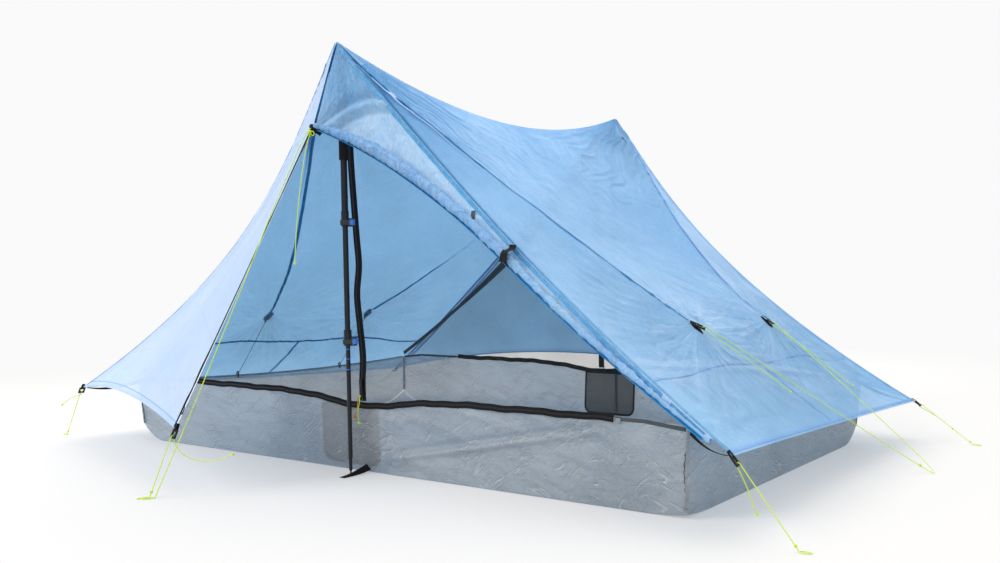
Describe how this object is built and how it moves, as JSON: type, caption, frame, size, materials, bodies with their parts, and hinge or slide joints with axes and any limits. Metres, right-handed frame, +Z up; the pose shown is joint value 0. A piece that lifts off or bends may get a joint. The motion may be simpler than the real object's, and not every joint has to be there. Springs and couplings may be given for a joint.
{
  "type": "trekking pole tent",
  "caption": "Side entry trekking pole tent in translucent blue laminate with a grey bathtub floor, mesh inner doors, neon yellow guylines and one storm door rolled up",
  "frame": {"origin": "on the ground at the middle of the tent without its guylines", "axes": "X along the long side of the floor, Y across it with the rolled door's side at -Y, Z up"},
  "size_m": [2.9907, 2.1772, 1.2475],
  "materials": {
    "roof_laminate": "translucent blue laminate, creased, with a soft gloss",
    "door_laminate": "very light blue translucent laminate, creased",
    "floor_laminate": "grey translucent laminate, slightly glossy",
    "mesh": "fine insect mesh, matte",
    "black_webbing": "woven polyester webbing and tape, matte",
    "black_plastic": "moulded acetal, satin",
    "yellow_cord": "braided neon yellow cord, matte",
    "carbon_tube": "carbon fibre tube, clear coated",
    "grip_foam": "dark foam grip, matte",
    "blue_metal": "blue anodised aluminium"
  },
  "bodies": {
    "tent": {"bathtub_floor": "floor_laminate", "bathtub_wall_near": "floor_laminate", "bathtub_wall_far": "floor_laminate", "bathtub_wall_left": "floor_laminate", "bathtub_wall_right": "floor_laminate", "canopy_roof_left": "roof_laminate", "canopy_roof_right": "roof_laminate", "storm_door_near_right": "door_laminate", "mesh_near_left": "mesh", "mesh_near_right": "mesh", "mesh_pocket_near": "mesh", "zip_tape_near": "black_webbing", "pole_grip_near": "grip_foam", "pole_upper_tube_near": "carbon_tube", "corner_adjuster_near_left": "black_plastic", "roof_adjuster_near_left": "black_plastic", "corner_strap_near_left": "black_webbing", "inner_tie_near_left": "black_webbing", "corner_guyline_near_left": "yellow_cord", "corner_adjuster_near_right": "black_plastic", "roof_adjuster_near_right": "black_plastic", "corner_strap_near_right": "black_webbing", "inner_tie_near_right": "black_webbing", "corner_guyline_near_right": "yellow_cord", "mesh_far_left": "mesh", "mesh_far_right": "mesh", "mesh_pocket_far": "mesh", "zip_tape_far": "black_webbing", "pole_grip_far": "grip_foam", "pole_upper_tube_far": "carbon_tube", "corner_adjuster_far_left": "black_plastic", "roof_adjuster_far_left": "black_plastic", "corner_strap_far_left": "black_webbing", "inner_tie_far_left": "black_webbing", "corner_guyline_far_left": "yellow_cord", "corner_adjuster_far_right": "black_plastic", "roof_adjuster_far_right": "black_plastic", "corner_strap_far_right": "black_webbing", "inner_tie_far_right": "black_webbing", "corner_guyline_far_right": "yellow_cord", "side_guyline_left": "yellow_cord", "side_guyline_right": "yellow_cord", "beak_guyline_near": "yellow_cord", "beak_guyline_far": "yellow_cord", "door_tie_strap_near": "black_webbing"},
    "near_middle_pole": {"pole_middle_tube_near": "carbon_tube"},
    "near_lower_pole": {"pole_lower_tube_near": "carbon_tube"},
    "far_middle_pole": {"pole_middle_tube_far": "carbon_tube"},
    "far_lower_pole": {"pole_lower_tube_far": "carbon_tube"},
    "near_upper_lever": {"upper_lock_lever_near": "blue_metal"},
    "near_lower_lever": {"lower_lock_lever_near": "blue_metal"},
    "far_upper_lever": {"upper_lock_lever_far": "blue_metal"},
    "far_lower_lever": {"lower_lock_lever_far": "blue_metal"},
    "near_zip": {"zip_slider_near": "black_plastic"},
    "far_zip": {"zip_slider_far": "black_plastic"},
    "near_left_door": {"storm_door_near_left": "door_laminate", "door_adjuster_near": "black_plastic", "door_guyline_near": "yellow_cord"},
    "far_left_door": {"storm_door_far_left": "door_laminate"},
    "far_right_door": {"storm_door_far_right": "door_laminate"}
  },
  "joints": [
    {"name": "near_upper_section", "type": "slide", "parent": "tent", "child": "near_middle_pole", "axis": [-0.0431, 0.0041, 0.9991], "range_m": [0, 0.29]},
    {"name": "near_lower_section", "type": "slide", "parent": "near_middle_pole", "child": "near_lower_pole", "axis": [-0.0431, 0.0041, 0.9991], "range_m": [0, 0.3]},
    {"name": "far_upper_section", "type": "slide", "parent": "tent", "child": "far_middle_pole", "axis": [-0.0155, -0.0041, 0.9999], "range_m": [0, 0.29]},
    {"name": "far_lower_section", "type": "slide", "parent": "far_middle_pole", "child": "far_lower_pole", "axis": [-0.0155, -0.0041, 0.9999], "range_m": [0, 0.3]},
    {"name": "near_upper_lock", "type": "hinge", "parent": "tent", "child": "near_upper_lever", "pos_m": [0.03451, -0.64155, 0.72667], "axis": [-0.0431, 0.0041, 0.9991], "range_deg": [0, 100]},
    {"name": "near_lower_lock", "type": "hinge", "parent": "near_middle_pole", "child": "near_lower_lever", "pos_m": [0.04929, -0.64295, 0.38406], "axis": [-0.0431, 0.0041, 0.9991], "range_deg": [0, 100]},
    {"name": "far_upper_lock", "type": "hinge", "parent": "tent", "child": "far_upper_lever", "pos_m": [0.03103, 0.64156, 0.72615], "axis": [-0.0155, -0.0041, 0.9999], "range_deg": [0, 100]},
    {"name": "far_lower_lock", "type": "hinge", "parent": "far_middle_pole", "child": "far_lower_lever", "pos_m": [0.03633, 0.64296, 0.38327], "axis": [-0.0155, -0.0041, 0.9999], "range_deg": [0, 100]},
    {"name": "near_door_zip", "type": "slide", "parent": "tent", "child": "near_zip", "axis": [-0.0307, -0.0168, 0.9994], "range_m": [0, 0.6]},
    {"name": "far_door_zip", "type": "slide", "parent": "tent", "child": "far_zip", "axis": [-0.0307, 0.0168, 0.9994], "range_m": [0, 0.6]},
    {"name": "near_left_storm_door", "type": "hinge", "parent": "tent", "child": "near_left_door", "pos_m": [-0.0022, -0.6716, 1.247], "axis": [-0.7727, -0.0215, -0.6344], "range_deg": [0, 70], "deforming": ["storm_door_near_left", "door_guyline_near"]},
    {"name": "far_left_storm_door", "type": "hinge", "parent": "tent", "child": "far_left_door", "pos_m": [0.0378, 0.6716, 1.247], "axis": [0.7693, -0.0207, 0.6386], "range_deg": [0, 70], "deforming": ["storm_door_far_left"]},
    {"name": "far_right_storm_door", "type": "hinge", "parent": "tent", "child": "far_right_door", "pos_m": [0.0422, 0.6716, 1.247], "axis": [0.7494, 0.0215, -0.6617], "range_deg": [0, 70], "deforming": ["storm_door_far_right"]}
  ]
}
